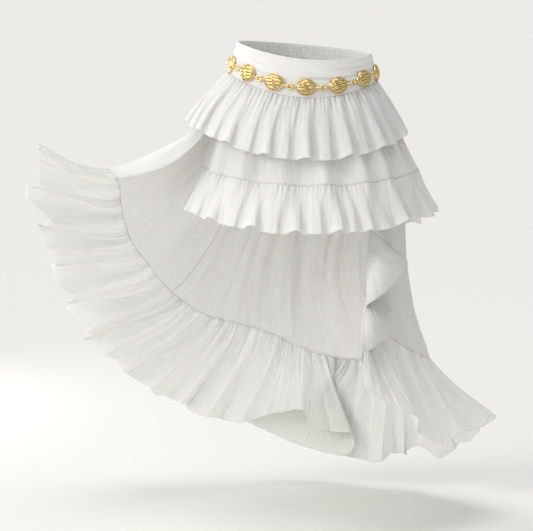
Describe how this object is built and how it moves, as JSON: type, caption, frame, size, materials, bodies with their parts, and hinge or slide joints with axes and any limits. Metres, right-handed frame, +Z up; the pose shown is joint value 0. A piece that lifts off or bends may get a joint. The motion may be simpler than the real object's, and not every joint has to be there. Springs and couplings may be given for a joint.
{
  "type": "tiered ruffle skirt with chain belt",
  "caption": "High-low cotton skirt: gathered tiers at the front, a flounced overskirt train swept to one side, a front-edge cascade, and a medallion chain belt on the waistband.",
  "frame": {"origin": "centre of the waist, half way up the waistband, where the skirt is held", "axes": "+Z up towards the waistband's top edge, -Y towards the front with the two short tiers, +X towards the wearer's left"},
  "size_m": [0.8863, 0.5407, 0.8757],
  "materials": {
    "cloth": "matte white crinkled cotton voile",
    "belt": "polished gilt brass with a textured relief"
  },
  "bodies": {
    "root": {"belt_hook": "belt", "belt_ring_01": "belt", "belt_ring_02": "belt", "belt_ring_03": "belt", "belt_ring_04": "belt", "belt_ring_05": "belt", "belt_ring_06": "belt", "belt_ring_07": "belt", "belt_ring_08": "belt", "belt_ring_09": "belt", "belt_ring_10": "belt", "belt_ring_11": "belt", "belt_ring_12": "belt", "front_edge_cascade": "cloth", "medallion_01": "belt", "medallion_02": "belt", "medallion_03": "belt", "medallion_04": "belt", "medallion_05": "belt", "medallion_06": "belt", "medallion_07": "belt", "medallion_08": "belt", "medallion_09": "belt", "medallion_10": "belt", "medallion_11": "belt", "medallion_12": "belt", "medallion_13": "belt", "tier1_ruffle_back": "cloth", "tier1_ruffle_front": "cloth", "tier2_ruffle": "cloth", "tier2_yoke": "cloth", "train_flounce_back": "cloth", "train_flounce_left": "cloth", "train_flounce_right": "cloth", "train_panel_back": "cloth", "train_panel_left": "cloth", "train_panel_right": "cloth", "waistband_back": "cloth", "waistband_front": "cloth"}
  },
  "joints": []
}
